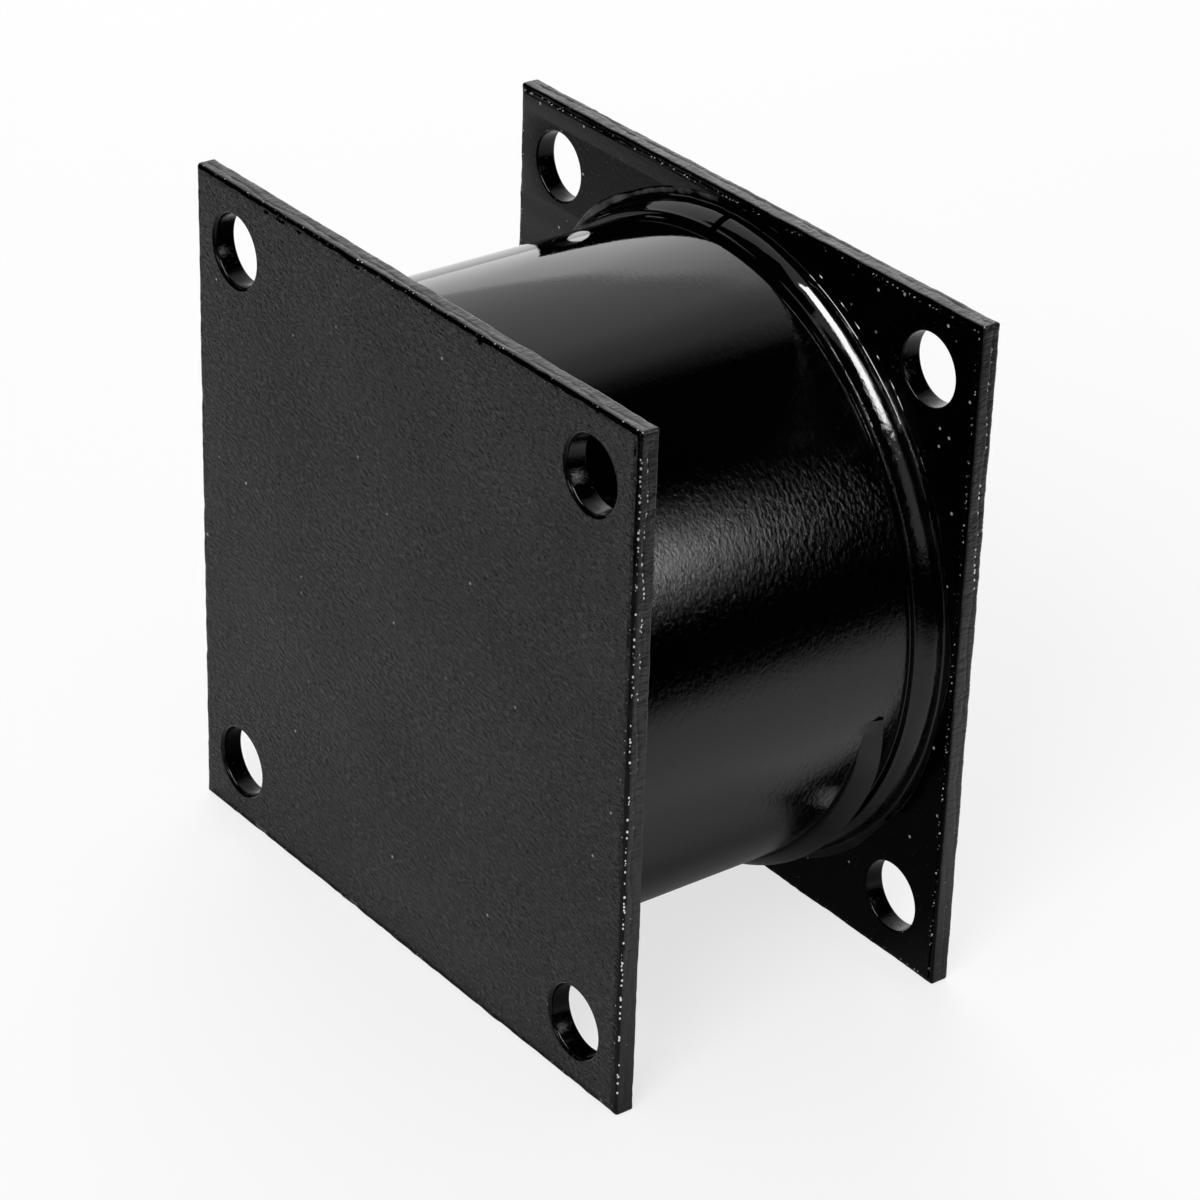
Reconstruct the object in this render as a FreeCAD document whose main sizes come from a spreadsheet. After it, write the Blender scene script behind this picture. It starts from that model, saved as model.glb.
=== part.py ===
import FreeCAD, Part
import os
import Sketcher

# Rubber anti-vibration mount: two square steel plates with a solid rubber cylinder
# bonded between them. The cylinder's axis lies along Y, the plates stand upright, and
# the origin is the centre of the mount. Lengths are in millimetres, angles in degrees.

SIZES = {
    # Plates, sheared from strip
    "plate_width": 150.0,
    "plate_height": 150.0,
    "plate_thickness": 5.0,
    "plate_corner_round": 1.2,
    "plate_edge_round": 0.5,
    # Punched holes, which clear an M14 bolt
    "hole_diameter": 15.5,
    "hole_inset": 14.5,
    "hole_entry_round": 0.45,
    "hole_exit_round": 0.35,
    # Rubber cylinder, as high as the plates are apart
    "rubber_height": 77.0,
    "rubber_diameter": 136.0,
    # Short plain lip where the rubber meets the front plate
    "front_lip_length": 2.2,
    "front_lip_diameter": 140.6,
    # Conical lip where the rubber meets the rear plate
    "lip_length": 6.2,
    "lip_land": 2.4,
    "lip_front_diameter": 138.8,
    "lip_back_diameter": 143.0,
    "lip_edge_round": 0.4,
    # Mould rib round the underside, near the rear lip
    "rib_gap": 10.8,
    "rib_front_slope": 4.2,
    "rib_back_slope": 1.2,
    "rib_diameter": 142.6,
    "rib_sink": 1.5,
    "rib_start_angle": 9.0,
    "rib_sweep_angle": 162.0,
    # Vent notch across the top of the rear lip
    "notch_width": 2.2,
    "notch_floor_diameter": 137.0,
    "notch_relief": 0.5,
}

ORIGIN_POINT = (-1, 1)


def add_sizes(doc):
    """The sheet of driving dimensions, one named cell for each."""
    sheet = doc.addObject("Spreadsheet::Sheet", "Sizes")
    for row, (name, value) in enumerate(SIZES.items(), start=1):
        sheet.set(f"A{row}", name)
        sheet.set(f"B{row}", str(value))
        sheet.setAlias(f"B{row}", name)
    doc.recompute()


def add_body(doc, label):
    body = doc.addObject("PartDesign::Body", label)
    body.Label = label
    return body


def origin_plane(body, role):
    return next(f for f in body.Origin.OriginFeatures if f.Role == role)


def add_sketch(body, name, plane):
    """A sketch on one of the body's own origin planes."""
    sketch = body.newObject("Sketcher::SketchObject", name)
    sketch.AttachmentSupport = [(origin_plane(body, plane), "")]
    sketch.MapMode = "FlatFace"
    return sketch


def hold_point(sketch, point, across, up):
    """Ties a point to two expressions, its distances from the sketch's origin."""
    for direction, expression in (("DistanceX", across), ("DistanceY", up)):
        value = sketch.evalExpression(expression)
        constraint = Sketcher.Constraint(direction, *ORIGIN_POINT, *point, value)
        index = sketch.addConstraint(constraint)
        sketch.setExpression(f"Constraints[{index}]", expression)


def draw_profile(sketch, corners):
    """A closed profile of straight lines through corners, each a pair of expressions."""
    places = [
        FreeCAD.Vector(sketch.evalExpression(across), sketch.evalExpression(up), 0)
        for across, up in corners
    ]
    count = len(places)
    for start in range(count):
        line = Part.LineSegment(places[start], places[(start + 1) % count])
        sketch.addGeometry(line)
    for line in range(count):
        following = (line + 1) % count
        sketch.addConstraint(Sketcher.Constraint("Coincident", line, 2, following, 1))
    for line, (across, up) in enumerate(corners):
        hold_point(sketch, (line, 1), across, up)


def edges_where(feature, test):
    """Names of the feature's edges that pass the test."""
    edges = feature.Shape.Edges
    return [f"Edge{number}" for number, edge in enumerate(edges, start=1) if test(edge)]


def add_fillet(body, name, base, test, radius):
    """Rounds the edges of base that pass the test, to a named radius."""
    fillet = body.newObject("PartDesign::Fillet", name)
    fillet.Base = (base, edges_where(base, test))
    fillet.setExpression("Radius", radius)
    body.Document.recompute()
    return fillet


def is_circle_at(edge, depth, radius=None):
    """True for a circle in the plane y = depth, of that radius if one is given."""
    if not isinstance(edge.Curve, Part.Circle):
        return False
    if abs(edge.CenterOfMass.y - depth) > 0.01:
        return False
    return radius is None or abs(edge.Curve.Radius - radius) < 0.01


def add_plate(doc, label, turn):
    """A square plate with four punched holes, turned about Z to its end of the rubber."""
    body = add_body(doc, label)
    outline = add_sketch(body, f"{label}_outline", "XZ_Plane")
    outline.setExpression("AttachmentOffset.Base.z", "Sizes.rubber_height / 2")
    half_width = "Sizes.plate_width / 2"
    half_height = "Sizes.plate_height / 2"
    draw_profile(outline, [
        (f"-{half_width}", f"-{half_height}"),
        (half_width, f"-{half_height}"),
        (half_width, half_height),
        (f"-{half_width}", half_height),
    ])
    blank = body.newObject("PartDesign::Pad", f"{label}_blank")
    blank.Profile = outline
    blank.setExpression("Length", "Sizes.plate_thickness")
    doc.recompute()
    holes = punch_holes(body, label)
    round_plate(body, label, holes)
    about_z = FreeCAD.Rotation(FreeCAD.Vector(0, 0, 1), turn)
    body.Placement = FreeCAD.Placement(FreeCAD.Vector(0, 0, 0), about_z)
    return body


def punch_holes(body, label):
    """The four bolt holes, punched right through."""
    sketch = add_sketch(body, f"{label}_hole_circles", "XZ_Plane")
    sketch.setExpression("AttachmentOffset.Base.z", "Sizes.rubber_height / 2")
    for side in ("-", ""):
        for level in ("-", ""):
            across = f"{side}(Sizes.plate_width / 2 - Sizes.hole_inset)"
            up = f"{level}(Sizes.plate_height / 2 - Sizes.hole_inset)"
            centre = FreeCAD.Vector(sketch.evalExpression(across), sketch.evalExpression(up), 0)
            radius = SIZES["hole_diameter"] / 2
            circle = sketch.addGeometry(Part.Circle(centre, FreeCAD.Vector(0, 0, 1), radius))
            hold_point(sketch, (circle, 3), across, up)
            index = sketch.addConstraint(Sketcher.Constraint("Diameter", circle, 2 * radius))
            sketch.setExpression(f"Constraints[{index}]", "Sizes.hole_diameter")
    holes = body.newObject("PartDesign::Pocket", f"{label}_holes")
    holes.Profile = sketch
    holes.setExpression("Length", "Sizes.plate_thickness")
    holes.Reversed = True
    body.Document.recompute()
    return holes


def round_plate(body, label, holes):
    """Rounded corners, softened sheared edges, and the punch's rolled rim on each hole."""
    inner = -SIZES["rubber_height"] / 2
    outer = inner - SIZES["plate_thickness"]
    hole_radius = SIZES["hole_diameter"] / 2

    def is_corner(edge):
        box = edge.BoundBox
        return isinstance(edge.Curve, Part.Line) and box.YLength > box.XLength + box.ZLength

    corners = add_fillet(
        body, f"{label}_corners", holes, is_corner, "Sizes.plate_corner_round")
    entry = add_fillet(
        body, f"{label}_hole_entries", corners,
        lambda edge: is_circle_at(edge, outer, hole_radius), "Sizes.hole_entry_round")
    leaving = add_fillet(
        body, f"{label}_hole_exits", entry,
        lambda edge: is_circle_at(edge, inner, hole_radius), "Sizes.hole_exit_round")

    def is_rim(edge):
        box = edge.BoundBox
        at_face = min(abs(box.YMin - inner), abs(box.YMin - outer)) < 0.01
        near_side = max(abs(box.XMax), abs(box.XMin)) > SIZES["plate_width"] / 2 - 0.01
        near_level = max(abs(box.ZMax), abs(box.ZMin)) > SIZES["plate_height"] / 2 - 0.01
        return box.YLength < 0.01 and at_face and (near_side or near_level)

    add_fillet(body, f"{label}_edges", leaving, is_rim, "Sizes.plate_edge_round")


def add_rubber(doc, label):
    """The moulded rubber: a cylinder with a lip at each plate, a rib and a notch."""
    body = add_body(doc, label)
    profile = add_sketch(body, f"{label}_profile", "XY_Plane")
    top = "Sizes.rubber_height / 2"
    body_radius = "Sizes.rubber_diameter / 2"
    short_radius = "Sizes.front_lip_diameter / 2"
    front_radius = "Sizes.lip_front_diameter / 2"
    back_radius = "Sizes.lip_back_diameter / 2"
    short_start = f"({top} - Sizes.front_lip_length)"
    lip_start = f"({top} - Sizes.lip_length)"
    land_start = f"({top} - Sizes.lip_land)"
    draw_profile(profile, [
        ("0", f"-{top}"),
        (short_radius, f"-{top}"),
        (short_radius, f"-{short_start}"),
        (body_radius, f"-{short_start}"),
        (body_radius, lip_start),
        (front_radius, lip_start),
        (back_radius, land_start),
        (back_radius, top),
        ("0", top),
    ])
    turned = body.newObject("PartDesign::Revolution", f"{label}_turned")
    turned.Profile = profile
    turned.ReferenceAxis = (profile, ["V_Axis"])
    turned.Angle = 360
    doc.recompute()

    half_height = SIZES["rubber_height"] / 2
    short_level = SIZES["front_lip_length"] - half_height
    lip_level = half_height - SIZES["lip_length"]
    land_level = half_height - SIZES["lip_land"]

    def is_lip_edge(edge):
        levels = (short_level, lip_level, land_level)
        return any(is_circle_at(edge, level) for level in levels)

    add_fillet(body, f"{label}_lip_edges", turned, is_lip_edge, "Sizes.lip_edge_round")
    cut_notch(body, label)
    add_rib(body, label)
    return body


def cut_notch(body, label):
    """A narrow notch across the top of the rear lip."""
    sketch = add_sketch(body, f"{label}_notch_outline", "YZ_Plane")
    top = "Sizes.rubber_height / 2"
    start = f"{top} - Sizes.lip_length - Sizes.notch_relief"
    floor = "Sizes.notch_floor_diameter / 2"
    crown = "Sizes.lip_back_diameter / 2 + Sizes.notch_relief"
    draw_profile(sketch, [
        (start, floor),
        (top, floor),
        (top, crown),
        (start, crown),
    ])
    notch = body.newObject("PartDesign::Pocket", f"{label}_notch")
    notch.Profile = sketch
    notch.setExpression("Length", "Sizes.notch_width")
    notch.Midplane = True
    body.Document.recompute()


def add_rib(body, label):
    """A three-cornered rib, swept part of the way round under the cylinder."""
    sketch = add_sketch(body, f"{label}_rib_profile", "XY_Plane")
    tilt = FreeCAD.Rotation(FreeCAD.Vector(0, 1, 0), SIZES["rib_start_angle"])
    sketch.AttachmentOffset = FreeCAD.Placement(FreeCAD.Vector(0, 0, 0), tilt)
    sketch.setExpression("AttachmentOffset.Rotation.Angle", "Sizes.rib_start_angle")
    back = "(Sizes.rubber_height / 2 - Sizes.rib_gap)"
    foot = "Sizes.rubber_diameter / 2 - Sizes.rib_sink"
    surface = "Sizes.rubber_diameter / 2"
    crest = "Sizes.rib_diameter / 2"
    front = f"{back} - Sizes.rib_back_slope - Sizes.rib_front_slope"
    draw_profile(sketch, [
        (foot, front),
        (surface, front),
        (crest, f"{back} - Sizes.rib_back_slope"),
        (surface, back),
        (foot, back),
    ])
    rib = body.newObject("PartDesign::Revolution", f"{label}_rib")
    rib.Profile = sketch
    rib.ReferenceAxis = (sketch, ["V_Axis"])
    rib.setExpression("Angle", "Sizes.rib_sweep_angle")
    body.Document.recompute()


def check(doc, pieces):
    """Stops if any feature failed or a piece isn't one valid solid."""
    for item in doc.Objects:
        if "Invalid" in item.State or "Error" in item.State:
            raise RuntimeError(f"{item.Name} did not compute: {item.State}")
    for piece in pieces:
        shape = piece.Shape
        if shape.isNull() or not shape.isValid() or len(shape.Solids) != 1:
            raise RuntimeError(f"{piece.Label} is not one valid solid")


def main():
    doc = FreeCAD.newDocument("mount")
    add_sizes(doc)
    pieces = [
        add_plate(doc, "front_plate", 0),
        add_plate(doc, "rear_plate", 180),
        add_rubber(doc, "rubber_body"),
    ]
    doc.recompute()
    check(doc, pieces)
    os.makedirs("parts", exist_ok=True)
    for piece in pieces:
        piece.Shape.exportStep(os.path.join("parts", f"{piece.Label}.step"))
        print(piece.Label, f"{piece.Shape.Volume:.0f} mm3")


main()
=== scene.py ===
import math

import bmesh
import bpy
from mathutils import Matrix, Vector, noise


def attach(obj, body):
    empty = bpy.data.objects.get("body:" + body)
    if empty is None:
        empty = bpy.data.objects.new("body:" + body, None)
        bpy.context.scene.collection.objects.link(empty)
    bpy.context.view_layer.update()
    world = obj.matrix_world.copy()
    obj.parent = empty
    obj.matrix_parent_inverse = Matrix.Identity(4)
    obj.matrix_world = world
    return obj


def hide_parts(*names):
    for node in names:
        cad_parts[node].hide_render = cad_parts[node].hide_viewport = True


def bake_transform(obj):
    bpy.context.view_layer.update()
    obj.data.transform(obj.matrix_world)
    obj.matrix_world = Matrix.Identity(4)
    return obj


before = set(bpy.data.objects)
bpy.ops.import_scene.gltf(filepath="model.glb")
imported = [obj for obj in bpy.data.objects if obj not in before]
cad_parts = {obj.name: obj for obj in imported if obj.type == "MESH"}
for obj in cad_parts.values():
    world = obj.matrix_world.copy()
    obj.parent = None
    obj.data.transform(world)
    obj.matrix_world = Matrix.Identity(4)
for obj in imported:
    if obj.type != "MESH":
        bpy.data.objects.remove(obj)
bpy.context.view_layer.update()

# Anti-vibration mount: two sheared steel plates with a rubber cylinder moulded between
# them, all sprayed black. The cylinder's axis lies along Y and its centre is the origin.
# Sizes are in millimetres until mm() turns them into metres.


def mm(value):
    """Millimetres to metres."""
    return value / 1000


def mm_point(x, y, z):
    return Vector((mm(x), mm(y), mm(z)))


# Sizes

# The plates: their size, the sheared rim's roll, round and burr, and the four holes.
PLATE = 150.0
PLATE_DEEP = 5.0
PLATE_INNER = 38.5
PLATE_OUTER = PLATE_INNER + PLATE_DEEP
PLATE_CORNER = 0.8
ROLL_OVER = 1.1
ROLL_DEEP = 0.9
BACK_ROUND = 0.6
BURR_PLACE = 1.25
BURR_HIGH = 0.32
BORDER = 1.9
HOLE_PLACE = 60.5
HOLE_RADIUS = 7.75
HOLE_ENTRY = 0.9
HOLE_EXIT = 0.4

# The uneven strip along the rims, the line where the sheared edge tears, and one deep scar.
RIM_START = 73.2
TEAR_LEVEL = 2.0
TEAR_WAVE = 0.9
TEAR_HALF = 0.35
SCAR_PLACE = -49
SCAR_HALF = 5.5
SCAR_DEEP = 1.1

# The rubber: its plain front lip, its coned rear lip with a film round it, and the vent notch.
RUBBER_RADIUS = 68.0
FRONT_LIP_START = 36.3
FRONT_LIP_RADIUS = 70.3
LIP_START = 32.3
LIP_STEP = 69.3
LIP_RADIUS = 71.3
LIP_LAND = 36.1
FLASH_RADIUS = 73.2
FILM_LEVEL = 38.26
NOTCH_WIDE = 2.0
NOTCH_FLOOR = 68.5

# The mould rib: its section, and its run round the rubber in degrees.
RIB_BACK = 27.7
RIB_CREST = 26.5
RIB_FRONT = 22.3
RIB_RADIUS = 71.2
RIB_FOOT = 67.0
RIB_START = 9.0
RIB_SWEEP = 162.0
RIB_RAMP = 14.0
RIB_END = 0.4


# Selecting and editing

def active_mesh():
    return bmesh.from_edit_mesh(bpy.context.edit_object.data)


def show_selection(mesh):
    mesh.select_flush_mode()
    bmesh.update_edit_mesh(bpy.context.edit_object.data)


def select_nothing():
    bpy.ops.mesh.select_all(action="DESELECT")


def select_faces(test):
    """Selects only the faces whose middle and normal pass the test."""
    bpy.ops.mesh.select_mode(type="FACE")
    select_nothing()
    mesh = active_mesh()
    for face in mesh.faces:
        if test(face.calc_center_median() * 1000, face.normal):
            face.select_set(True)
    show_selection(mesh)


def select_edges(test):
    """Selects only the edges whose two ends, in millimetres, pass the test."""
    bpy.ops.mesh.select_mode(type="EDGE")
    select_nothing()
    mesh = active_mesh()
    for edge in mesh.edges:
        if test(edge.verts[0].co * 1000, edge.verts[1].co * 1000):
            edge.select_set(True)
    show_selection(mesh)


def fill_open_edges(level):
    """Closes the face at one distance along Y, between all the open edges there."""
    bpy.ops.mesh.select_mode(type="EDGE")
    select_nothing()
    mesh = active_mesh()
    for edge in mesh.edges:
        ends = [point.co.y * 1000 for point in edge.verts]
        if edge.is_boundary and all(abs(end - level) < 0.01 for end in ends):
            edge.select_set(True)
    show_selection(mesh)
    bpy.ops.mesh.fill(use_beauty=False)


def close_ends(piece, levels):
    """Fills the piece's open ends and turns all its faces outwards."""
    only(piece)
    bpy.ops.object.mode_set(mode="EDIT")
    for level in levels:
        fill_open_edges(level)
    bpy.ops.mesh.select_all(action="SELECT")
    bpy.ops.mesh.normals_make_consistent(inside=False)
    end_editing()


def start_piece(piece, name):
    """Names the new primitive, applies its place and opens it for editing."""
    piece.name = name
    piece.data.name = name
    bpy.ops.object.transform_apply(location=True, rotation=True, scale=True)
    bpy.ops.object.mode_set(mode="EDIT")


def end_editing():
    bpy.ops.object.mode_set(mode="OBJECT")


def only(piece):
    """Makes this piece the only selected one, and the active one."""
    bpy.ops.object.select_all(action="DESELECT")
    piece.select_set(True)
    bpy.context.view_layer.objects.active = piece


def apply_modifier(piece, kind, **settings):
    """Adds one modifier with its settings and applies it."""
    only(piece)
    modifier = piece.modifiers.new(kind.title(), kind)
    for name, value in settings.items():
        setattr(modifier, name, value)
    bpy.ops.object.modifier_apply(modifier=modifier.name)


def mark_points(piece, name, weight):
    """A point attribute for materials, from each point's place in millimetres."""
    layer = piece.data.attributes.new(name=name, type="FLOAT", domain="POINT")
    for point in piece.data.vertices:
        layer.data[point.index].value = weight(point.co * 1000)


def point_group(piece, name, weight):
    """A vertex group whose weights come from each point's place in millimetres."""
    group = piece.vertex_groups.new(name=name)
    for point in piece.data.vertices:
        value = weight(point.co * 1000)
        if value > 0:
            group.add([point.index], value, "REPLACE")


def cloud(name, size):
    """A cloud texture whose lumps are about size millimetres wide."""
    texture = bpy.data.textures.new(name, type="CLOUDS")
    texture.noise_scale = mm(size)
    texture.noise_depth = 1
    return texture


def roughen(piece, group, size, height, middle=0.5):
    """Moves the group's points along their normals, by lumps of size and height millimetres."""
    apply_modifier(
        piece, "DISPLACE", texture=cloud(f"{piece.name}_{size}", size),
        vertex_group=group, strength=mm(height), mid_level=middle,
        direction="NORMAL", texture_coords="LOCAL")


def smooth(piece):
    """Shades the piece smooth, apart from edges sharper than 35 degrees."""
    only(piece)
    bpy.ops.object.shade_smooth_by_angle(angle=math.radians(35))


def shape_rows(piece, count, outline):
    """Moves each of the tube's rows along Y to outline(point, row), in millimetres."""
    levels = [point.co.y for point in piece.data.vertices]
    first, last = min(levels), max(levels)
    for point in piece.data.vertices:
        row = round((point.co.y - first) / (last - first) * (count - 1))
        point.co = outline(point.co * 1000, row) / 1000


def held_within(point, reach):
    """The point, moved into the square that reaches this far along X and Z."""
    return Vector((max(-reach, min(reach, point.x)), point.y,
                   max(-reach, min(reach, point.z))))


def quarter(start, end, steps, bulge_first):
    """Points of a quarter round between two (across, along) points."""
    points = []
    for step in range(steps + 1):
        angle = math.pi / 2 * step / steps
        rise, run = math.sin(angle), 1 - math.cos(angle)
        across, along = (rise, run) if bulge_first else (run, rise)
        points.append((start[0] + (end[0] - start[0]) * across,
                       start[1] + (end[1] - start[1]) * along))
    return points


# Steel plates

def rim_weight(point):
    """Full on the strip along the plate's four edges, and calmer near its corners."""
    reach = max(abs(point.x), abs(point.z))
    from_corner = reach - min(abs(point.x), abs(point.z))
    calm = min(1.0, 0.15 + from_corner / 2.5)
    return calm * min(1.0, max(0.0, (reach - RIM_START) / 0.6))


def tear_depth(point):
    """How deep below the outer face the blade's cut turns into torn steel, in millimetres."""
    depth = TEAR_LEVEL + TEAR_WAVE * noise.noise(Vector((point.x, point.z, 0)) / 11)
    scar = 1 - ((point.z - SCAR_PLACE) / SCAR_HALF) ** 2
    if point.x > 0 and scar > 0:
        depth += SCAR_DEEP * math.sqrt(scar)
    return depth


def tear_weight(point):
    """Full on the wavy line where the sheared edge tears, and fading on both its sides."""
    depth = PLATE_OUTER - abs(point.y)
    if max(abs(point.x), abs(point.z)) < PLATE / 2 - 0.5 or depth < 1.0:
        return 0.0
    if min(abs(point.x), abs(point.z)) > PLATE / 2 - 1.5:
        return 0.0
    return max(0.0, 1 - abs(depth - tear_depth(point)) / TEAR_HALF)


def die_roll():
    """The outer rim as the shear rolls it over: an easy slope, steeper towards the side."""
    roll = []
    for step in range(12):
        share = step / 11
        inset = ROLL_OVER * (1 - share)
        roll.append((inset, ROLL_DEEP * (0.5 * share ** 1.4 + 0.5 * share ** 5)))
    return roll


def scuff_weight(point):
    """Where thin paint lets bare steel through: the outer edge, the burr and, on the upright
    sides, stretches of the tear."""
    depth = PLATE_OUTER - abs(point.y)
    inset = PLATE / 2 - max(abs(point.x), abs(point.z))
    if inset < 0.4 and 0.3 < depth < 0.85:
        return 1.0 if abs(point.x) > abs(point.z) else 0.6
    if abs(inset - ROLL_OVER) < 0.2 and depth < 0.2:
        return 0.4
    if depth > PLATE_DEEP - 0.5 and abs(inset - BURR_PLACE) < 0.3:
        return 0.8
    if abs(point.z) > abs(point.x):
        return 0.0
    worn = noise.noise(Vector((point.x, 7.0, point.z)) / 24)
    return 1.5 * tear_weight(point) if worn > 0.05 else 0.5 * tear_weight(point)


def plate_section():
    """The rim's section from outer to inner face: (inset from the outline, depth) points."""
    low, high = ROLL_DEEP, PLATE_DEEP - BACK_ROUND - BURR_HIGH
    step = (high - low) / 13
    middle = [(0, low + step * (i + 1)) for i in range(12)]
    back = quarter((0, high), (BACK_ROUND, high + BACK_ROUND), 5, False)
    burr = [(BURR_PLACE - 0.03, high + BACK_ROUND), (BURR_PLACE, PLATE_DEEP),
            (BURR_PLACE + 0.1, PLATE_DEEP), (BORDER, PLATE_DEEP)]
    return [(BORDER, 0), (ROLL_OVER + 0.2, 0)] + die_roll() + middle + back + burr


def outward(point):
    """The outline's outward direction at a point of the plate's side."""
    core = PLATE / 2 - PLATE_CORNER
    x = max(0.0, abs(point.x) - core)
    z = max(0.0, abs(point.z) - core)
    direction = Vector((math.copysign(x, point.x), 0, math.copysign(z, point.z)))
    return direction.normalized()


def make_plate_blank():
    """A square plate with round corners, its edge strip cut fine and its rims rounded."""
    bpy.ops.mesh.primitive_cube_add(
        size=1, location=mm_point(0, -PLATE_INNER - PLATE_DEEP / 2, 0),
        scale=mm_point(PLATE, PLATE_DEEP, PLATE))
    blank = bpy.context.object
    start_piece(blank, "front_plate_steel")
    select_edges(lambda a, b: abs(a.y - b.y) > 1)
    bpy.ops.mesh.bevel(offset=mm(PLATE_CORNER), segments=5, affect="EDGES")
    select_faces(lambda middle, normal: abs(normal.y) > 0.9)
    bpy.ops.mesh.delete(type="FACE")
    select_edges(lambda a, b: (a - b).length > 100)
    bpy.ops.mesh.subdivide(number_cuts=299)
    section = plate_section()
    burr_rows = range(len(section) - 4, len(section) - 1)
    select_edges(lambda a, b: abs(a.y - b.y) > 1)
    bpy.ops.mesh.subdivide(number_cuts=len(section) - 2)
    end_editing()

    def rim(point, row):
        inset, depth = section[row]
        if row in burr_rows:
            near = held_within(point, PLATE / 2 - BURR_PLACE)
            inset += 0.3 * noise.noise(Vector((near.x, near.z, 0)) / 5)
        place = held_within(point - outward(point) * inset, PLATE / 2 - inset)
        place.y = depth - PLATE_OUTER
        return place

    shape_rows(blank, len(section), rim)
    # Past the corner's radius, the corner's points meet in one, which this merges.
    bpy.ops.object.mode_set(mode="EDIT")
    bpy.ops.mesh.select_all(action="SELECT")
    bpy.ops.mesh.remove_doubles(threshold=mm(0.001))
    end_editing()
    return blank


def hole_section():
    """The hole's wall from outer to inner face: (flare, depth) points."""
    front = quarter((HOLE_ENTRY, 0), (0, HOLE_ENTRY), 7, True)
    back = quarter((0, PLATE_DEEP - HOLE_EXIT), (HOLE_EXIT, PLATE_DEEP), 4, False)
    return [(HOLE_ENTRY + 0.5, 0), (HOLE_ENTRY + 0.1, 0)] + front + back + [
        (HOLE_EXIT + 0.1, PLATE_DEEP), (HOLE_EXIT + 0.5, PLATE_DEEP)]


def make_hole():
    """One hole's wall: straight, with a rolled mouth in front and a small round behind."""
    bpy.ops.object.select_all(action="DESELECT")
    bpy.ops.mesh.primitive_cylinder_add(vertices=96, radius=mm(HOLE_RADIUS), depth=mm(20),
                                        end_fill_type="NOTHING", rotation=(math.pi / 2, 0, 0))
    hole = bpy.context.object
    start_piece(hole, "hole_wall")
    section = hole_section()
    select_edges(lambda a, b: abs(a.y - b.y) > 1)
    bpy.ops.mesh.subdivide(number_cuts=len(section) - 2)
    end_editing()

    def wall(point, row):
        flare, depth = section[row]
        ratio = (HOLE_RADIUS + flare) / HOLE_RADIUS
        return Vector((point.x * ratio, depth - PLATE_OUTER, point.z * ratio))

    shape_rows(hole, len(section), wall)
    return hole


def punch_holes(plate):
    """Sets the four hole walls into the plate and closes its two faces round them."""
    first = make_hole()
    walls = []
    for x in (-HOLE_PLACE, HOLE_PLACE):
        for z in (-HOLE_PLACE, HOLE_PLACE):
            wall = first.copy()
            wall.data = first.data.copy()
            wall.data.transform(Matrix.Translation(mm_point(x, 0, z)))
            bpy.context.collection.objects.link(wall)
            walls.append(wall)
    bpy.data.objects.remove(first)
    only(plate)
    for wall in walls:
        wall.select_set(True)
    bpy.ops.object.join()
    close_ends(plate, (-PLATE_OUTER, -PLATE_INNER))


def roughen_rims(plate):
    """Uneven rims and a torn line on the sheared sides, nowhere outside the plate's own size."""
    point_group(plate, "rim", rim_weight)
    point_group(plate, "tear", tear_weight)
    roughen(plate, "rim", size=9.0, height=0.3, middle=0.7)
    roughen(plate, "rim", size=1.6, height=0.26, middle=0.7)
    roughen(plate, "tear", size=0.8, height=0.5, middle=0.75)
    for point in plate.data.vertices:
        place = held_within(point.co * 1000, PLATE / 2)
        place.y = max(-PLATE_OUTER, min(PLATE_OUTER, place.y))
        point.co = place / 1000


def make_plates():
    """The front plate, and the rear one as its own copy turned half round."""
    front = make_plate_blank()
    punch_holes(front)
    rear = front.copy()
    rear.data = front.data.copy()
    rear.name = "rear_plate_steel"
    rear.data.name = rear.name
    bpy.context.collection.objects.link(rear)
    rear.data.transform(Matrix.Rotation(math.pi, 4, "Z"))
    for plate in (front, rear):
        mark_points(plate, "scuff", scuff_weight)
        roughen_rims(plate)
        smooth(plate)
    return front, rear


# Rubber

def rear_lip():
    """The rear lip: a step, a bulging cone, a narrow land and a root pressed out on the plate."""
    lip = [(RUBBER_RADIUS + 0.15, LIP_START)]
    lip += quarter((LIP_STEP - 0.3, LIP_START), (LIP_STEP + 0.2, LIP_START + 0.35), 4, True)
    length = LIP_LAND - LIP_START - 0.5
    for step in range(1, 9):
        share = step / 8
        rise = (LIP_RADIUS - LIP_STEP - 0.2) * (1.55 * share - 0.55 * share ** 2)
        lip.append((LIP_STEP + 0.2 + rise, LIP_START + 0.35 + length * share))
    lip += [(LIP_RADIUS + 0.03, LIP_LAND + 0.3), (LIP_RADIUS + 0.05, LIP_LAND + 1.2)]
    lip += quarter((LIP_RADIUS + 0.07, LIP_LAND + 1.7), (LIP_RADIUS + 0.5, FILM_LEVEL), 4, False)
    return lip + [(FLASH_RADIUS - 0.5, FILM_LEVEL), (FLASH_RADIUS - 0.12, FILM_LEVEL + 0.02),
                  (FLASH_RADIUS, FILM_LEVEL + 0.08), (FLASH_RADIUS, PLATE_INNER)]


def rubber_section():
    """The rubber's side from the front plate to the rear one: (radius, distance along Y)."""
    section = [(FRONT_LIP_RADIUS, -PLATE_INNER), (FRONT_LIP_RADIUS, -FRONT_LIP_START - 0.5)]
    section += quarter((FRONT_LIP_RADIUS, -FRONT_LIP_START - 0.4),
                       (FRONT_LIP_RADIUS - 0.4, -FRONT_LIP_START), 4, False)
    section += [(RUBBER_RADIUS + 0.2, -FRONT_LIP_START), (RUBBER_RADIUS, 0.2 - FRONT_LIP_START)]
    reach = LIP_START + FRONT_LIP_START - 2
    section += [(RUBBER_RADIUS, 1 - FRONT_LIP_START + reach * i / 12) for i in range(13)]
    return section + [(RUBBER_RADIUS, LIP_START - 0.15)] + rear_lip()


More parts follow.
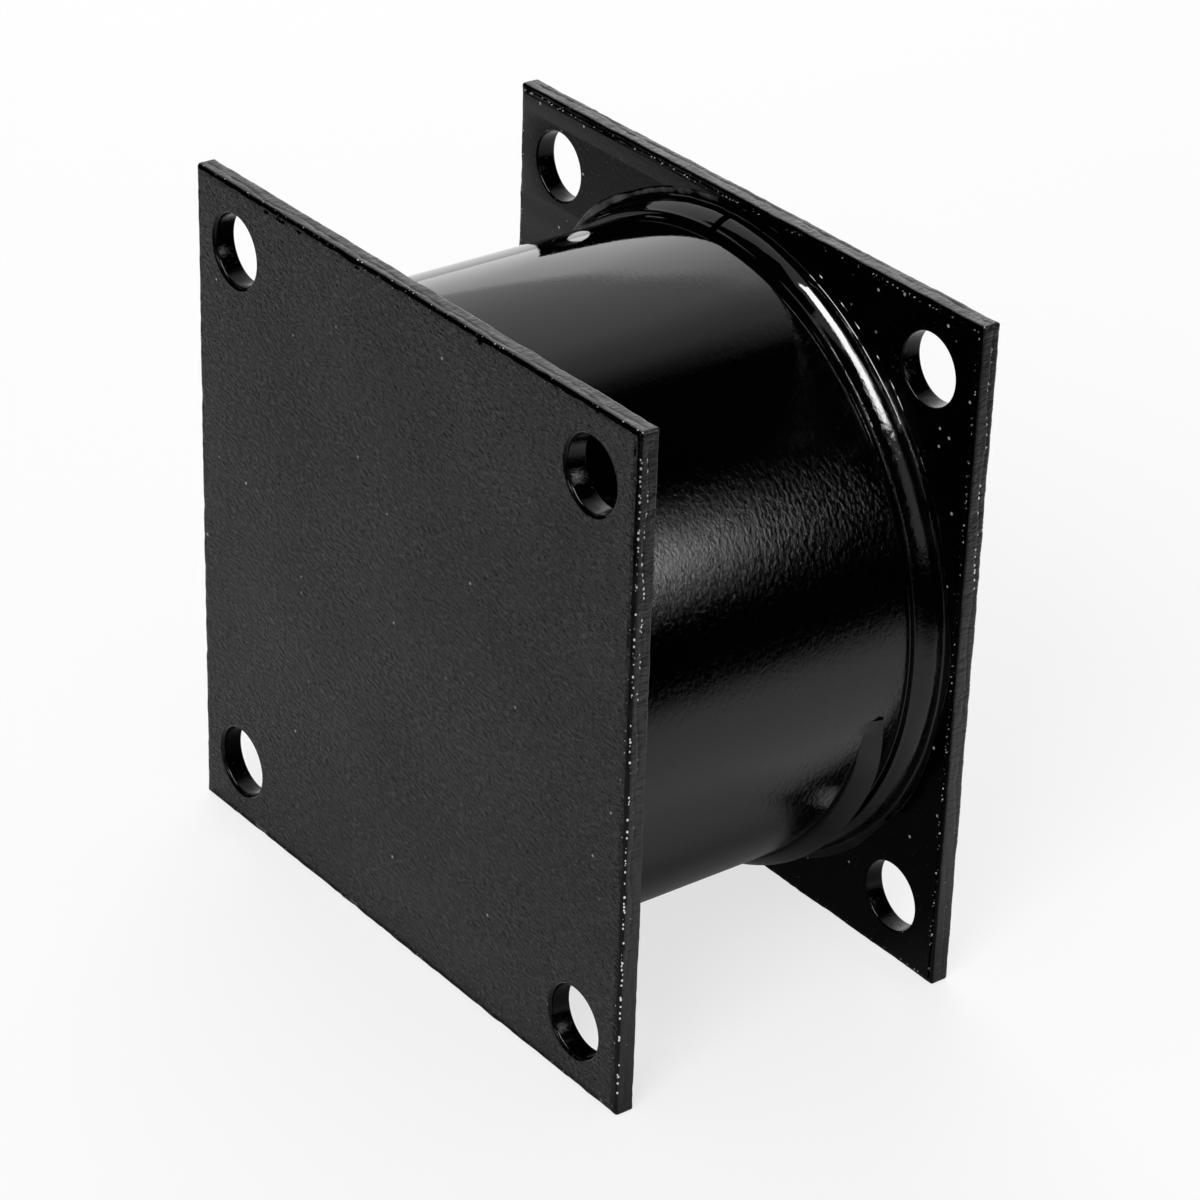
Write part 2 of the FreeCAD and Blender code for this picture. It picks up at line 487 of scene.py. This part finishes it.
def make_rubber():
    """The rubber, turned from a cylinder whose rows take the section's radii."""
    bpy.ops.object.select_all(action="DESELECT")
    bpy.ops.mesh.primitive_cylinder_add(
        vertices=512, radius=mm(RUBBER_RADIUS), depth=mm(2 * PLATE_INNER),
        end_fill_type="NOTHING", rotation=(math.pi / 2, 0, 0))
    rubber = bpy.context.object
    start_piece(rubber, "rubber_cylinder")
    section = rubber_section()
    first_film_row = len(section) - 4
    select_edges(lambda a, b: abs(a.y - b.y) > 1)
    bpy.ops.mesh.subdivide(number_cuts=len(section) - 2)
    end_editing()

    def side(point, row):
        radius, level = section[row]
        if row >= first_film_row:
            radius += 1.1 * noise.noise(point.normalized() * 5) - 0.2
        ratio = radius / RUBBER_RADIUS
        return Vector((point.x * ratio, level, point.z * ratio))

    shape_rows(rubber, len(section), side)
    close_ends(rubber, (-PLATE_INNER, PLATE_INNER))
    return rubber


def lower_rib_end(point):
    """Runs the rib out towards either end, down to a low square step."""
    radius = math.hypot(point.co.x, point.co.z) * 1000
    angle = math.degrees(math.atan2(-point.co.z, point.co.x))
    from_end = min(angle - RIB_START, RIB_START + RIB_SWEEP - angle)
    share = min(1.0, max(0.0, from_end / RIB_RAMP))
    height = RIB_END + (1 - RIB_END) * math.sin(share * math.pi / 2)
    lowered = RIB_FOOT + (radius - RIB_FOOT) * height
    point.co.x *= lowered / radius
    point.co.z *= lowered / radius


def make_rib():
    """The mould rib under the rear lip: its section, spun part of the way round."""
    section = bpy.data.meshes.new("rib_section")
    corners = [(RIB_FOOT, RIB_FRONT), (RUBBER_RADIUS + 0.4, RIB_FRONT),
               (RUBBER_RADIUS + 0.8, RIB_FRONT + 0.25), (RIB_RADIUS - 0.2, RIB_CREST - 0.2),
               (RIB_RADIUS, RIB_CREST + 0.1), (RUBBER_RADIUS, RIB_BACK), (RIB_FOOT, RIB_BACK)]
    section.from_pydata([mm_point(r, y, 0) for r, y in corners], [], [range(len(corners))])
    rib = bpy.data.objects.new("rib", section)
    bpy.context.collection.objects.link(rib)
    rib.data.transform(Matrix.Rotation(math.radians(RIB_START), 4, "Y"))
    only(rib)
    bpy.ops.object.mode_set(mode="EDIT")
    bpy.ops.mesh.select_all(action="SELECT")
    bpy.ops.mesh.spin(steps=230, angle=math.radians(RIB_SWEEP), center=(0, 0, 0), axis=(0, -1, 0))
    bpy.ops.mesh.select_all(action="SELECT")
    bpy.ops.mesh.remove_doubles(threshold=mm(0.001))
    bpy.ops.mesh.normals_make_consistent(inside=False)
    end_editing()
    for point in rib.data.vertices:
        lower_rib_end(point)
    return rib


def root_weight(point):
    """Full on the film of rubber pressed out along the rear plate, less on the lip's land."""
    radius = math.hypot(point.x, point.z)
    if point.y > PLATE_INNER - 0.05 or point.y < LIP_LAND:
        return 0.0
    return 0.5 if radius < LIP_RADIUS + 0.1 else 1.0


def cone_weight(point):
    """Full on the rear lip's cone, whose skin is slightly uneven."""
    radius = math.hypot(point.x, point.z)
    return 1.0 if LIP_START + 0.8 < point.y < LIP_LAND + 0.4 and radius > LIP_STEP else 0.0


def finish_rubber(rubber):
    """Joins the rib, cuts the vent notch, and makes the film and the cone uneven."""
    rib = make_rib()
    apply_modifier(rubber, "BOOLEAN", object=rib, operation="UNION", solver="EXACT")
    bpy.data.objects.remove(rib)
    bpy.ops.object.select_all(action="DESELECT")
    bpy.ops.mesh.primitive_cube_add(
        size=1, location=mm_point(0, 34.9, NOTCH_FLOOR + 2.5),
        scale=mm_point(NOTCH_WIDE, 5.9, 5))
    cutter = bpy.context.object
    apply_modifier(rubber, "BOOLEAN", object=cutter, operation="DIFFERENCE", solver="EXACT")
    bpy.data.objects.remove(cutter)
    point_group(rubber, "root", root_weight)
    roughen(rubber, "root", size=6.0, height=0.3, middle=0.6)
    roughen(rubber, "root", size=1.8, height=0.16, middle=0.6)
    point_group(rubber, "cone", cone_weight)
    roughen(rubber, "cone", size=4.0, height=0.07)
    smooth(rubber)
    return rubber


# Colours and shader nodes

def linear(hex_colour):
    """An sRGB hex colour as the linear values that a shader takes."""
    channels = [int(hex_colour[i:i + 2], 16) / 255 for i in (1, 3, 5)]
    out = [c / 12.92 if c <= 0.04045 else ((c + 0.055) / 1.055) ** 2.4 for c in channels]
    return (*out, 1.0)


def new_material(name):
    material = bpy.data.materials.new(name)
    material.use_nodes = True
    material.node_tree.nodes.clear()
    return material


def add(tree, kind, links=(), sockets=None, **properties):
    """Adds a node with its properties, its sockets' values and its links from other outputs."""
    node = tree.nodes.new(f"ShaderNode{kind}")
    for name, value in properties.items():
        setattr(node, name, value)
    for name, value in (sockets or {}).items():
        node.inputs[name].default_value = value
    for name, source in links:
        tree.links.new(source, node.inputs[name])
    return node


def finish_surface(tree, shader):
    add(tree, "OutputMaterial", [("Surface", shader)])


def ramp(tree, source, stops):
    """A colour ramp of grey stops, each a position and a value."""
    node = add(tree, "ValToRGB", [("Fac", source)])
    elements = node.color_ramp.elements
    while len(elements) < len(stops):
        elements.new(0.5)
    for element, (position, value) in zip(elements, stops):
        element.position = position
        element.color = (value, value, value, 1)
    return node.outputs["Color"]


def stretched(tree, place, scale, turn=(0, 0, 0)):
    """The place, turned and scaled on each axis, so that a pattern runs long one way."""
    node = add(tree, "Mapping", [("Vector", place)], {"Scale": scale, "Rotation": turn})
    return node.outputs["Vector"]


# Materials

def per_metre(size):
    """Noise scale for lumps of size millimetres, on Object coordinates in metres."""
    return 1000 / size


def along(tree, axis, first, last):
    """0 where the coordinate on this axis is first and 1 where it is last, in metres."""
    place = add(tree, "TexCoord").outputs["Object"]
    across = add(tree, "SeparateXYZ", [("Vector", place)]).outputs[axis]
    return add(tree, "MapRange", [("Value", across)],
               {"From Min": first, "From Max": last}).outputs["Result"]


def bare_steel(tree, place, paint):
    """Lets bright steel through the paint in small flecks wherever the scuff attribute is high."""
    scuff = add(tree, "Attribute", attribute_name="scuff")
    cells = add(tree, "TexVoronoi", [("Vector", place)], {"Scale": per_metre(0.9)})
    reach = add(tree, "Math", [(0, scuff.outputs["Fac"])], {1: 0.36, 2: 0.5},
                operation="MULTIPLY_ADD")
    worn = add(tree, "Math", [(0, reach.outputs[0]), (1, cells.outputs["Distance"])],
               operation="SUBTRACT")
    fleck = ramp(tree, worn.outputs[0], [(0.5, 0.0), (0.56, 1.0)])
    steel = add(tree, "BsdfPrincipled", sockets={
        "Base Color": linear("#dededf"), "Metallic": 1.0, "Roughness": 0.35})
    mix = add(tree, "MixShader", [("Fac", fleck), (1, paint), (2, steel.outputs["BSDF"])])
    return mix.outputs[0]


def dust(tree, place, kept):
    """Single pale specks of dust: one in some of the cells, 1 on a speck and 0 elsewhere."""
    cells = add(tree, "TexVoronoi", [("Vector", place)], {"Scale": per_metre(2.6)})
    speck = ramp(tree, cells.outputs["Distance"], [(0.1, 1.0), (0.16, 0.0)])
    chance = add(tree, "SeparateColor", [("Color", cells.outputs["Color"])]).outputs["Red"]
    chosen = ramp(tree, chance, [(kept, 1.0), (kept + 0.02, 0.0)])
    return add(tree, "Math", [(0, speck), (1, chosen)], operation="MULTIPLY").outputs[0]


def enamel(name, ior, sheen, wrinkle, nib, spacing, dusted):
    """Black enamel on steel: its IOR, roughness range, wrinkle and nib heights, nib spacing
    and the share of small cells that hold a speck of dust. Sizes are in millimetres. The wrinkle
    height also sets how much lighter the crests are painted than the hollows: painted highlight
    and shade."""
    material = new_material(name)
    tree = material.node_tree
    place = add(tree, "TexCoord").outputs["Object"]
    slanted = stretched(tree, place, (1, 1, 2.1), (0, math.radians(35), 0))
    wrinkles = add(tree, "TexNoise", [("Vector", slanted)],
                   {"Scale": per_metre(1.5), "Detail": 3.5, "Roughness": 0.62, "Distortion": 0.6})
    bump = add(tree, "Bump", [("Height", wrinkles.outputs["Fac"])],
               {"Strength": 1.0, "Distance": mm(wrinkle)})
    specks = add(tree, "TexVoronoi", [("Vector", place)], {"Scale": per_metre(spacing)})
    speck = ramp(tree, specks.outputs["Distance"], [(0.0, 1.0), (0.13, 0.0)])
    dusty = add(tree, "Bump", [("Height", speck), ("Normal", bump.outputs["Normal"])],
                {"Strength": 1.0, "Distance": mm(nib)})
    blotches = add(tree, "TexNoise", [("Vector", place)], {"Scale": per_metre(30), "Detail": 3})
    shine = ramp(tree, blotches.outputs["Fac"], [(0.3, sheen[0]), (0.7, sheen[1])])
    # Painted highlight and shade: the colour follows the wrinkles' height, lighter grey on their
    # crests and black in their hollows, the more so the higher the wrinkle.
    thin = ramp(tree, wrinkles.outputs["Fac"], [(0.48, 0.0005), (0.68, 0.009 * wrinkle)])
    colour = add(tree, "Mix", [("Factor", dust(tree, place, dusted)), ("A", thin)],
                 {"B": linear("#8e8e8c")}, data_type="RGBA")
    paint = add(tree, "BsdfPrincipled",
                [("Base Color", colour.outputs["Result"]), ("Roughness", shine),
                 ("Normal", dusty.outputs["Normal"])], {"IOR": ior})
    finish_surface(tree, bare_steel(tree, place, paint.outputs["BSDF"]))
    return material


def sprayed_edge():
    """Thin enamel over a sheared edge: streaked by the blade, with steel grey showing through."""
    material = new_material("thin_black_enamel_on_sheared_edge")
    tree = material.node_tree
    place = add(tree, "TexCoord").outputs["Object"]
    across = stretched(tree, place, (1, 0.35, 1))
    streaks = add(tree, "TexNoise", [("Vector", across)],
                  {"Scale": per_metre(1.2), "Detail": 4, "Roughness": 0.6})
    patches = add(tree, "TexNoise", [("Vector", place)], {"Scale": per_metre(6), "Detail": 4})
    bump = add(tree, "Bump", [("Height", streaks.outputs["Fac"])],
               {"Strength": 1.0, "Distance": mm(0.3)})
    sheen = ramp(tree, patches.outputs["Fac"], [(0.3, 0.22), (0.7, 0.38)])
    paint = add(tree, "BsdfPrincipled",
                [("Roughness", sheen), ("Normal", bump.outputs["Normal"])],
                {"Base Color": linear("#111112"), "IOR": 1.4})
    finish_surface(tree, bare_steel(tree, place, paint.outputs["BSDF"]))
    return material


def plate_paints():
    """One black enamel in the four states that paint_plate gives to a plate's faces."""
    # A dull dark grey with a fine slanted grain from the rolled steel under a thin coat, its
    # crests painted lighter and its hollows darker as painted highlight and shade.
    satin = enamel("black_enamel_sprayed_on_rolled_steel", ior=1.16, sheen=(0.15, 0.22),
                   wrinkle=3.0, nib=0.05, spacing=2.6, dusted=0.02)
    # Nearly black and smooth, with single nibs that catch the light.
    wet = enamel("black_enamel_run_smooth_on_inner_face", ior=1.18, sheen=(0.07, 0.11),
                 wrinkle=0.05, nib=0.2, spacing=1.6, dusted=0.15)
    # A glossy black line round the outer face and the holes.
    beaded = enamel("black_enamel_run_thick_on_rolled_rims", ior=1.22, sheen=(0.07, 0.12),
                    wrinkle=0.07, nib=0.2, spacing=1.6, dusted=0.0)
    return satin, sprayed_edge(), wet, beaded


def glossy_rubber():
    """Black gloss sprayed over moulded rubber: a deep mirror with fine leathery creases, and
    nearly without them on top."""
    material = new_material("black_gloss_sprayed_on_moulded_rubber")
    tree = material.node_tree
    place = add(tree, "TexCoord").outputs["Object"]
    stretch = stretched(tree, place, (1, 1.4, 1))
    creases = add(tree, "TexNoise", [("Vector", stretch)],
                  {"Scale": per_metre(1.3), "Detail": 4, "Roughness": 0.62, "Distortion": 0.9})
    waves = add(tree, "TexNoise", [("Vector", place)], {"Scale": per_metre(6), "Detail": 1})
    sides = along(tree, "Z", 0.063, 0.048)
    depth = add(tree, "Math", [(0, sides)], {1: 0.9, 2: 0.1}, operation="MULTIPLY_ADD")
    height = add(tree, "Math", [(0, creases.outputs["Fac"]), (1, depth.outputs[0])],
                 operation="MULTIPLY")
    bump = add(tree, "Bump", [("Height", height.outputs[0])],
               {"Strength": 1.0, "Distance": mm(0.055)})
    slow = add(tree, "Math", [(0, waves.outputs["Fac"]), (1, depth.outputs[0])],
               operation="MULTIPLY")
    swell = add(tree, "Bump", [("Height", slow.outputs[0]), ("Normal", bump.outputs["Normal"])],
                {"Strength": 0.5, "Distance": mm(0.05)})
    gloss = add(tree, "BsdfPrincipled", [("Normal", swell.outputs["Normal"])],
                {"Base Color": linear("#020202"), "Roughness": 0.03, "IOR": 1.36})
    finish_surface(tree, gloss.outputs["BSDF"])
    return material


def wear(piece, *materials):
    """Gives the piece these materials, in slots 0 and up."""
    piece.data.materials.clear()
    for material in materials:
        piece.data.materials.append(material)


def paint_plate(plate):
    """Slot 0 is the outer face, 1 the sheared sides, 2 the inner face, 3 the rims and holes."""
    for face in plate.data.polygons:
        middle = face.center * 1000
        depth = PLATE_OUTER - abs(middle.y)
        at_side = max(abs(middle.x), abs(middle.z)) > PLATE / 2 - 0.7
        if depth < 0.2 and abs(face.normal.y) > 0.97:
            face.material_index = 0
        elif at_side and ROLL_DEEP - 0.1 < depth < PLATE_DEEP - BACK_ROUND:
            face.material_index = 1
        elif depth > PLATE_DEEP - 0.1:
            face.material_index = 2
        else:
            face.material_index = 3


# Camera

CAMERA_PLACE = mm_point(604.37, -462.25, 407.54)
CAMERA_FORWARD = Vector((-0.694166, 0.538639, -0.477495))
CAMERA_ROLL = 1.903
CAMERA_LENS = 125.66


def add_camera():
    data = bpy.data.cameras.new("photo_camera")
    camera = bpy.data.objects.new("photo_camera", data)
    bpy.context.collection.objects.link(camera)
    data.sensor_width = 36
    data.lens = CAMERA_LENS
    data.clip_start = 0.01
    data.clip_end = 50
    turn = CAMERA_FORWARD.to_track_quat("-Z", "Y").to_matrix().to_4x4()
    roll = Matrix.Rotation(math.radians(CAMERA_ROLL), 4, "Z")
    camera.matrix_world = Matrix.Translation(CAMERA_PLACE) @ turn @ roll
    bpy.context.scene.camera = camera


# Studio

def seen_as_background(tree):
    """1 for what the camera, a mirror or glass sees, and 0 for the light that falls."""
    path = add(tree, "LightPath")
    mirrored = add(tree, "Math", [(0, path.outputs["Is Camera Ray"]),
                                  (1, path.outputs["Is Glossy Ray"])], operation="MAXIMUM")
    through = add(tree, "Math", [(0, mirrored.outputs[0]),
                                 (1, path.outputs["Is Transmission Ray"])], operation="MAXIMUM")
    return through.outputs[0]


def add_world():
    world = bpy.data.worlds.new("studio_air")
    world.use_nodes = True
    bpy.context.scene.world = world
    tree = world.node_tree
    tree.nodes.clear()
    room = add(tree, "Background", sockets={"Color": (1, 1, 1, 1), "Strength": 0.5})
    white = add(tree, "Background", sockets={"Color": (1, 1, 1, 1), "Strength": 1.0})
    mix = add(tree, "MixShader", [("Fac", seen_as_background(tree)),
                                  (1, room.outputs[0]), (2, white.outputs[0])])
    add(tree, "OutputWorld", [("Surface", mix.outputs[0])])


FLOOR_GLOW = 0.72
FLOOR_LEVEL = -mm(PLATE / 2)
WALL_FOOT = -0.074


def add_floor():
    """A pale floor that looks white and keeps a soft shadow."""
    bpy.ops.object.select_all(action="DESELECT")
    bpy.ops.mesh.primitive_plane_add(size=12, location=(0, 0, FLOOR_LEVEL))
    floor = bpy.context.object
    floor.name = "floor"
    material = new_material("white_paper_floor")
    tree = material.node_tree
    paper = add(tree, "BsdfDiffuse", sockets={"Color": linear("#efefef")})
    glow = add(tree, "Emission", sockets={"Color": (1, 1, 1, 1), "Strength": 1.0})
    share = add(tree, "Math", [(0, seen_as_background(tree))], {1: FLOOR_GLOW},
                operation="MULTIPLY")
    mix = add(tree, "MixShader", [("Fac", share.outputs[0]), (1, paper.outputs[0]),
                                  (2, glow.outputs[0])])
    finish_surface(tree, mix.outputs[0])
    wear(floor, material)


def add_lamp(name, place, wide, high, power):
    """A softbox that faces the mount and lights the floor, but isn't mirrored in the gloss."""
    data = bpy.data.lights.new(name, type="AREA")
    data.shape = "RECTANGLE"
    data.size = wide
    data.size_y = high
    data.energy = power
    lamp = bpy.data.objects.new(name, data)
    bpy.context.collection.objects.link(lamp)
    lamp.location = place
    lamp.rotation_euler = (-place).to_track_quat("-Z", "Y").to_euler()
    lamp.visible_glossy = False


def add_card(name, corners, material):
    """A flat card, its corners in metres, that only reflections see."""
    mesh = bpy.data.meshes.new(name)
    mesh.from_pydata([Vector(corner) for corner in corners], [], [range(len(corners))])
    card = bpy.data.objects.new(name, mesh)
    bpy.context.collection.objects.link(card)
    card.visible_camera = False
    card.visible_diffuse = False
    card.visible_shadow = False
    wear(card, material)


def black_card():
    """Matt black card, which the gloss mirrors as black: painted shade standing in for the unlit
    parts of the room.
    """
    material = new_material("painted_shade_matt_card")
    tree = material.node_tree
    felt = add(tree, "BsdfDiffuse", sockets={"Color": linear("#020202")})
    finish_surface(tree, felt.outputs[0])
    return material


def lit_card(name, strength):
    """Evenly lit white cloth."""
    material = new_material(name)
    tree = material.node_tree
    glow = add(tree, "Emission", sockets={"Color": (1, 1, 1, 1), "Strength": strength})
    finish_surface(tree, glow.outputs[0])
    return material


def lit_wall(name, strengths):
    """A white wall whose light changes along it: pairs of x in metres and brightness."""
    material = new_material(name)
    tree = material.node_tree
    first, last = strengths[0][0], strengths[-1][0]
    top = max(value for x, value in strengths)
    stops = [((x - first) / (last - first), value / top) for x, value in strengths]
    glow = add(tree, "Emission", [("Color", ramp(tree, along(tree, "X", first, last), stops))],
               {"Strength": top})
    finish_surface(tree, glow.outputs[0])
    return material


def soft_glow():
    """The front cloth of a small softbox: bright in its middle and dark at its edges."""
    material = new_material("small_softbox_cloth")
    tree = material.node_tree
    fade = [(0.0, 0.0), (0.25, 0.35), (0.5, 1.0)]
    lower = ramp(tree, along(tree, "Z", 0.075, 0.275), fade)
    upper = ramp(tree, along(tree, "Z", 0.275, 0.075), fade)
    across = ramp(tree, along(tree, "Y", 0.188, 0.14), [(0.0, 0.0), (1.0, 1.0)])
    both = add(tree, "Math", [(0, lower), (1, upper)], operation="MULTIPLY")
    shape = add(tree, "Math", [(0, both.outputs[0]), (1, across)], operation="MULTIPLY")
    glow = add(tree, "Emission", [("Color", shape.outputs[0])], {"Strength": 14.0})
    finish_surface(tree, glow.outputs[0])
    return material


def fading_shade(name, axis, clear, dark, most=1.0):
    """Black net that thickens between two places along one axis, in metres, up to most."""
    material = new_material(name)
    tree = material.node_tree
    cloth = add(tree, "BsdfDiffuse", sockets={"Color": linear("#020202")})
    bare = add(tree, "BsdfTransparent")
    share = add(tree, "Math", [(0, along(tree, axis, clear, dark))], {1: most},
                operation="MULTIPLY")
    mix = add(tree, "MixShader", [("Fac", share.outputs[0]),
                                  (1, bare.outputs[0]), (2, cloth.outputs[0])])
    finish_surface(tree, mix.outputs[0])
    return material


def add_wall(name, first, last, distance, top, material):
    """An upright card between two azimuths, from the floor to its top in metres."""
    start, end = toward(first, 0, distance), toward(last, 0, distance)
    add_card(name, [(start.x, start.y, WALL_FOOT), (end.x, end.y, WALL_FOOT),
                    (end.x, end.y, top), (start.x, start.y, top)], material)


def add_floor_card(name, left, right, front, back, material):
    """A card that lies just above the floor, its four sides in metres."""
    level = FLOOR_LEVEL + 0.0002
    add_card(name, [(left, front, level), (right, front, level),
                    (right, back, level), (left, back, level)], material)


def add_facing_card(name, middle, wide, high, material):
    """A card that faces the mount from its middle point."""
    turn = (-middle).to_track_quat("-Z", "Y").to_matrix()
    across, up = turn.col[0] * wide / 2, turn.col[1] * high / 2
    add_card(name, [middle - across - up, middle + across - up,
                    middle + across + up, middle - across + up], material)


def toward(azimuth, elevation, distance):
    """The point at this azimuth from +Y towards +X, elevation and distance in metres."""
    across, up = math.radians(azimuth), math.radians(elevation)
    return Vector((math.sin(across) * math.cos(up), math.cos(across) * math.cos(up),
                   math.sin(up))) * distance


def add_back_walls():
    """Two white walls behind the mount, fading to its right, which its rubber mirrors on top.

    The near one is brighter, and its upper edge is the line between the two greys there."""
    dim = lit_wall("wall_above", [(-1.5, 1.1), (-1.06, 1.17), (-0.76, 1.14), (-0.5, 0.8),
                                  (-0.3, 0.6), (-0.1, 0.15), (0.05, 0.02)])
    bright = lit_wall("wall_below", [(-2.0, 1.7), (-1.8, 1.7), (-1.6, 2.05), (-1.2, 2.05),
                                     (-0.78, 1.76), (-0.4, 1.0), (-0.1, 0.38), (0.05, 0.02)])
    far, near = 1.2, 1.19
    add_card("back_wall_above", [
        (-3, far, -0.07), (0.3, far, -0.07), (0.3, far, 4), (-3, far, 4)], dim)
    add_card("back_wall_below", [
        (-3, near, -0.07), (0.1, near, -0.07), (0.1, near, 1.75), (-0.37, near, 1.6),
        (-0.77, near, 1.48), (-1.15, near, 1.3), (-1.3, near, 1.21), (-1.47, near, 1.05),
        (-1.8, near, 0.75), (-2.3, near, 0.3)], bright)


def add_dark_walls():
    """Black walls, seen only by the gloss, on the sides whose light would grey the rubber and the
    inner faces: painted shade standing in for the unlit room there.
    """
    dark = black_card()
    add_wall("dark_wall_right", 2, 78, 0.85, 2.6, dark)
    add_wall("dark_wall_low", 78, 140, 0.9, 0.11, dark)
    add_wall("dark_wall_left", -102, -140, 1.4, 4.4, dark)
    add_wall("dark_wall_far_left", -72, -102, 2.2, 0.7, dark)
    add_wall("dark_wall_front", -140, -178, 1.4, 4.4, dark)
    add_wall("dark_wall_camera", 112, 178, 1.8, 3.2, dark)


def add_floor_shades():
    """Black net, seen only by the gloss, on the parts of the floor that it would mirror too
    brightly: painted shadow between and behind the plates, and painted shade on the floor farther
    out to the right and in front.
    """
    # Painted shade: the mirrored floor to the right darkens farther out.
    add_floor_card("painted_shade_card_right", 0.22, 1.6, -0.9, 1.1,
                   fading_shade("painted_shade_net_right", "X", 0.22, 0.36))
    # Painted shadow: the mirrored floor between and behind the plates darkens towards the mount.
    add_floor_card("painted_shadow_card_between", -0.074, 0.12, -0.0436, 0.0436,
                   fading_shade("painted_shadow_net_between_plates", "X", 0.115, 0.055, 0.84))
    add_floor_card("painted_shadow_card_behind", 0.02, 0.1, 0.0438, 0.09,
                   fading_shade("painted_shadow_net_behind_plate", "X", 0.1, 0.08, 0.6))
    # Painted shade: the mirrored floor in front darkens farther out.
    add_floor_card("painted_shade_card_front", -1.6, 0.22, -1.2, -0.12,
                   fading_shade("painted_shade_net_front", "Y", -0.14, -0.3))


def add_bright_cards():
    """Softbox cloths mirrored on the rubber's side, the lip's cone and the front rims."""
    add_facing_card("right_back_softbox", mm_point(305, 168, 178), 0.12, 0.26, soft_glow())
    add_facing_card("softbox_above", toward(100, 72, 1.5), 0.46, 1.45,
                    lit_card("strip_light", 40.0))
    add_facing_card("softbox_by_camera", toward(161, 18, 1.6), 0.28, 0.8,
                    lit_card("bright_softbox", 14.0))


def add_studio():
    add_world()
    add_floor()
    add_lamp("back_left_softbox", toward(-58, 35, 1.6), wide=1.2, high=0.8, power=12)
    add_lamp("front_softbox", toward(150, 40, 1.5), wide=0.6, high=0.6, power=12)
    add_back_walls()
    add_dark_walls()
    add_floor_shades()
    add_bright_cards()


def main():
    front, rear = make_plates()
    rubber = finish_rubber(make_rubber())
    paints = plate_paints()
    for plate in (front, rear):
        wear(plate, *paints)
        paint_plate(plate)
    wear(rubber, glossy_rubber())
    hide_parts("front_plate")
    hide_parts("rear_plate")
    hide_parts("rubber_body")
    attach(front, "front")
    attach(rear, "rear")
    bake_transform(rubber)
    add_camera()
    add_studio()
    bpy.context.scene.view_settings.view_transform = "Standard"


main()
bpy.context.view_layer.update()
